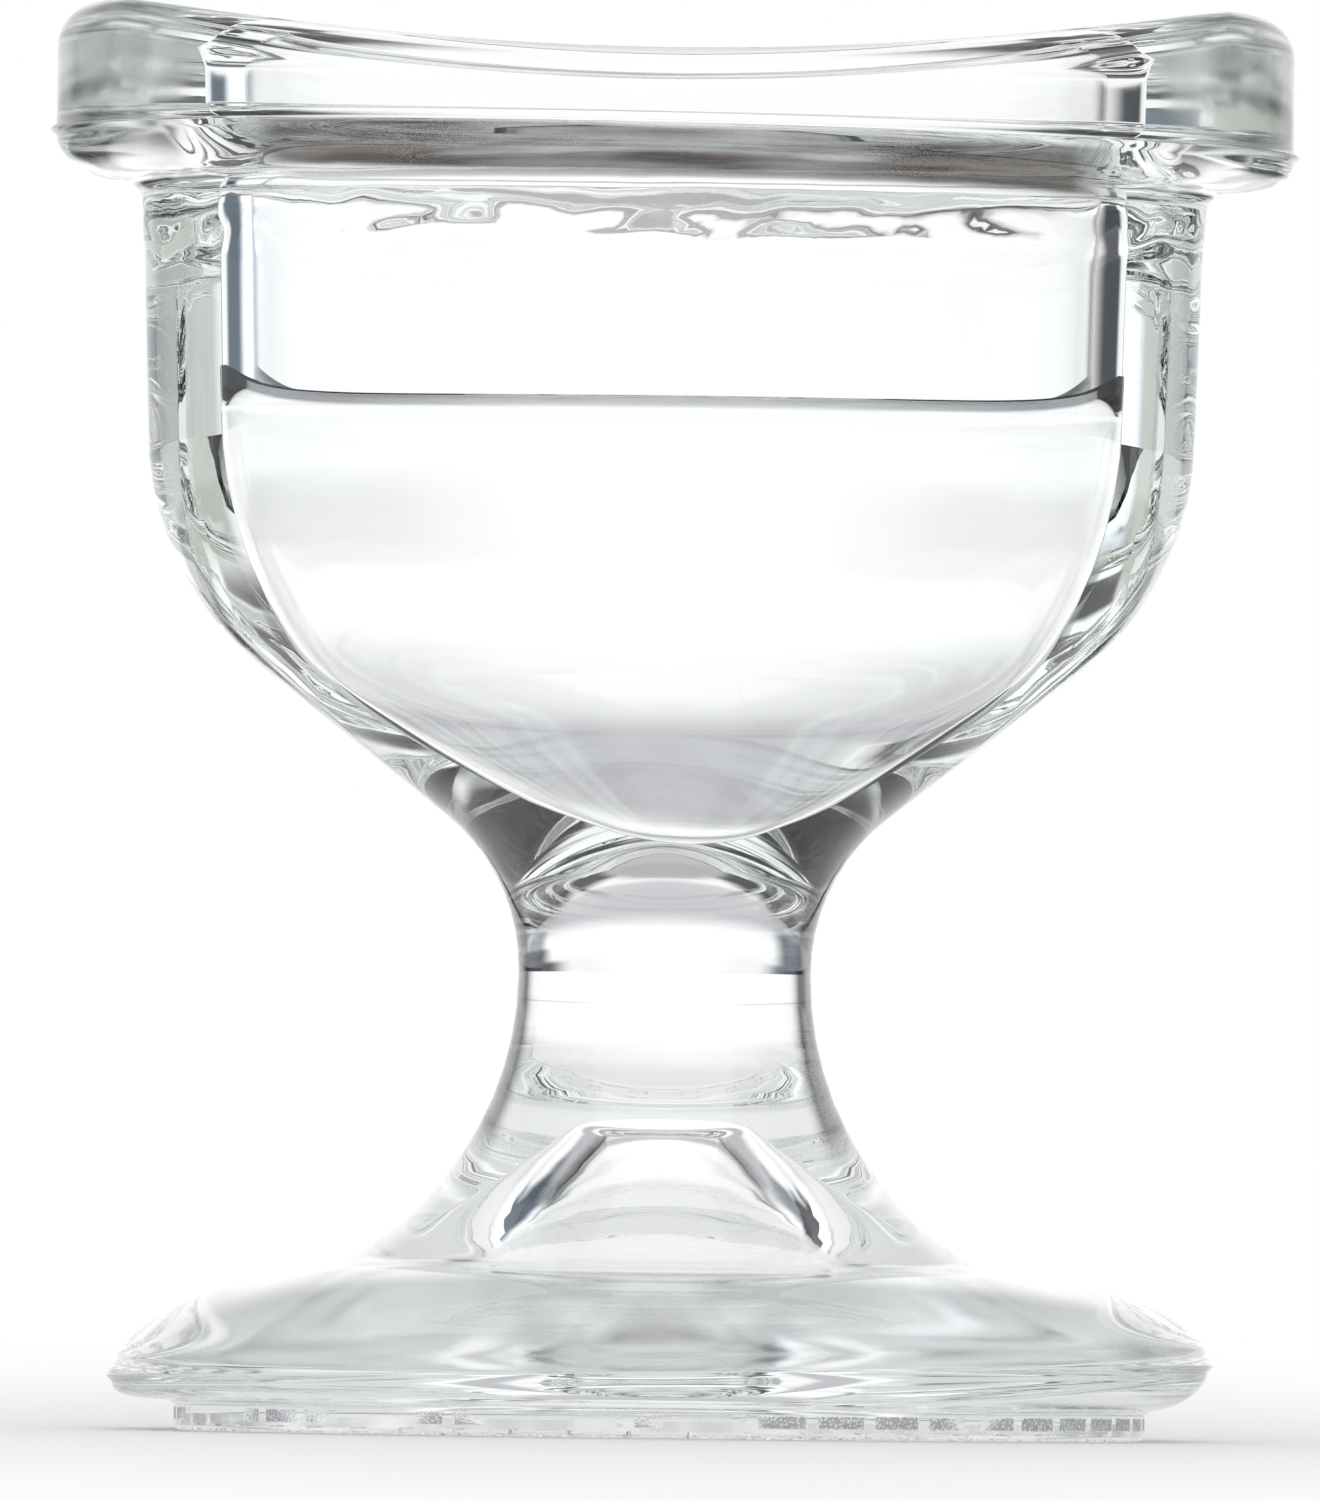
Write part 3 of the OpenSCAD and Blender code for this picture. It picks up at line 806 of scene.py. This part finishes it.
def paleFloor():
    material = bpy.data.materials.new("paleFloor")
    w = blankTree(material)
    place = w.node("ShaderNodeTexCoord", out="Object")
    far = w.node("ShaderNodeVectorMath", {"operation": "LENGTH"}, {0: place}, "Value")
    across, deep, _ = place.split()

    # as the camera sees it
    matt = w.node("ShaderNodeBsdfDiffuse", {}, {"Color": ground["colour"]})
    paintedGlow = w.node("ShaderNodeEmission", {}, {"Color": ground["paintedGlow"]})
    white = w.node("ShaderNodeEmission", {}, {"Color": ground["lit"]})
    # painted light: inside the ring the camera sees the sheet glow
    near = w.node("ShaderNodeMixShader", {}, {0: far.fade(*ground["paintedGlowEdge"]), 1: paintedGlow, 2: matt})
    sheet = w.node("ShaderNodeMixShader", {}, {0: far.fade(*ground["white"]), 1: near, 2: white})

    # as the glass sees it
    ahead = w.sums("MAXIMUM", deep, deep * -ground["laneFront"])
    lane = w.sums("ARCTAN2", abs(across), ahead) * degree
    # painted light and shade: glow inside the ring, shadowed grey round the foot
    tone = w.mix(far.fade(*ground["paintedGlowEdge"]), ground["paintedGlow"], ground["paintedNearShade"])
    tone = w.mix(far.fade(*ground["white"]), tone, ground["screen"])
    beyond = w.mix(deep.fade(*ground["frontEdge"]), ground["farFront"], ground["farSide"])
    beyond = w.mix(far.fade(*ground["tableEnd"]), ground["table"], beyond)
    # painted reflection: where the table is seen flat it shows the screens' tone
    steep = 1.0 - w.node("ShaderNodeLayerWeight", {}, {"Blend": 0.5}, "Facing")
    dark = far.fade(*ground["tableStart"]) * lane.fade(*ground["lane"]) * steep.fade(*ground["paintedReflectionFacing"])
    table = w.node("ShaderNodeEmission", {}, {"Color": w.mix(dark, tone, beyond)})

    path = [w.node("ShaderNodeLightPath", out=kind) for kind in ("Is Camera Ray", "Is Diffuse Ray")]
    mixed = w.node("ShaderNodeMixShader", {}, {0: w.sums("MAXIMUM", *path), 1: table, 2: sheet})
    w.close("ShaderNodeOutputMaterial", {"Surface": mixed})
    return material


floor = bpy.data.objects.new("floor", floorMesh())
scene.collection.objects.link(floor)
floor.data.materials.append(paleFloor())
print("floor set")

# studio: white screens with dark gaps between them and a dark canopy at the sides, as the glass sees them
studio = {
    "white": (1.0, 1.0, 1.0, 1.0),
    "screen": (1.12, 1.12, 1.12, 1.0),
    "sides": {"left": -1.0, "right": 1.0},
    "sideEdge": (-4.0, 4.0),  # degrees
    "bounces": 28,
    "glossyBounces": 12,
}
openLow, openHigh = (-99, -95), (190, 200)  # edges that no angle reaches
# name, side, degrees off straight behind, degrees above level, tone; each lies over the ones before it
panels = (
    ("wings", "both", (5, 24, *openHigh), (*openLow, 5, 9), (0.97, 0.97, 0.99)),
    ("side", "left", (62, 72, *openHigh), (*openLow, 32, 40), (1.16, 1.22, 1.30)),
    ("front", "left", (112, 122, *openHigh), (*openLow, 32, 40), (0.68, 0.70, 0.67)),
    ("front", "right", (76, 88, *openHigh), (*openLow, 20, 28), (0.58, 0.60, 0.57)),
    ("gap", "left", (28, 42, 52, 74), (*openLow, 3.4, 5.4), (0.14, 0.18, 0.25)),
    ("slit", "left", (35, 46, 60, 68), (*openLow, 26, 32), (0.07, 0.10, 0.14)),
    ("gap", "right", (28, 42, 64, 84), (*openLow, 3.8, 5.8), (0.016, 0.020, 0.032)),
    ("slit", "right", (42, 50, 58, 66), (7, 11, 22, 28), (0.27, 0.30, 0.35)),
    ("post", "right", (38, 48, 66, 78), (3, 5, 10, 13), (0.026, 0.030, 0.042)),
    ("haze", "both", (*openLow, 60, 70), (16, 29, *openHigh), (0.56, 0.56, 0.59)),
    ("top", "both", (*openLow, *openHigh), (43, 50, *openHigh), (1.02, 1.02, 1.02)),
    ("canopy", "left", (50, 70, 116, 130), (17, 30, 68, 78), (0.018, 0.016, 0.016)),
    ("canopy", "right", (54, 72, 116, 130), (22, 35, 68, 78), (0.045, 0.040, 0.038)),
    ("zenith", "both", (*openLow, *openHigh), (66, 76, *openHigh), (0.46, 0.45, 0.45)),
)


def makeStudio():
    world = bpy.data.worlds.new("studio")
    scene.world = world
    w = blankTree(world)
    x, y, z = w.node("ShaderNodeTexCoord", out="Generated").split()
    aside = w.sums("ARCTAN2", x, y) * degree
    away = abs(aside)
    above = w.sums("ARCSINE", z) * degree
    colour = studio["screen"]
    for _, side, off, up, tone in panels:
        share = away.within(off) * above.within(up)
        if side in studio["sides"]:
            share = share * (aside * studio["sides"][side]).fade(*studio["sideEdge"])
        colour = w.mix(share, colour, (*tone, 1.0))
    screens = w.node("ShaderNodeBackground", {}, {"Color": colour})
    plain = w.node("ShaderNodeBackground", {}, {"Color": studio["white"]})
    path = [w.node("ShaderNodeLightPath", out=kind) for kind in ("Is Camera Ray", "Is Diffuse Ray")]
    mixed = w.node("ShaderNodeMixShader", {}, {0: w.sums("MAXIMUM", *path), 1: screens, 2: plain})
    w.close("ShaderNodeOutputWorld", {"Surface": mixed})


makeStudio()
scene.view_settings.view_transform = "Standard"
scene.cycles.max_bounces = studio["bounces"]
scene.cycles.transmission_bounces = studio["bounces"]
scene.cycles.glossy_bounces = studio["glossyBounces"]
print("studio set:", ", ".join(f"{name} {side}" for name, side, *_ in panels))
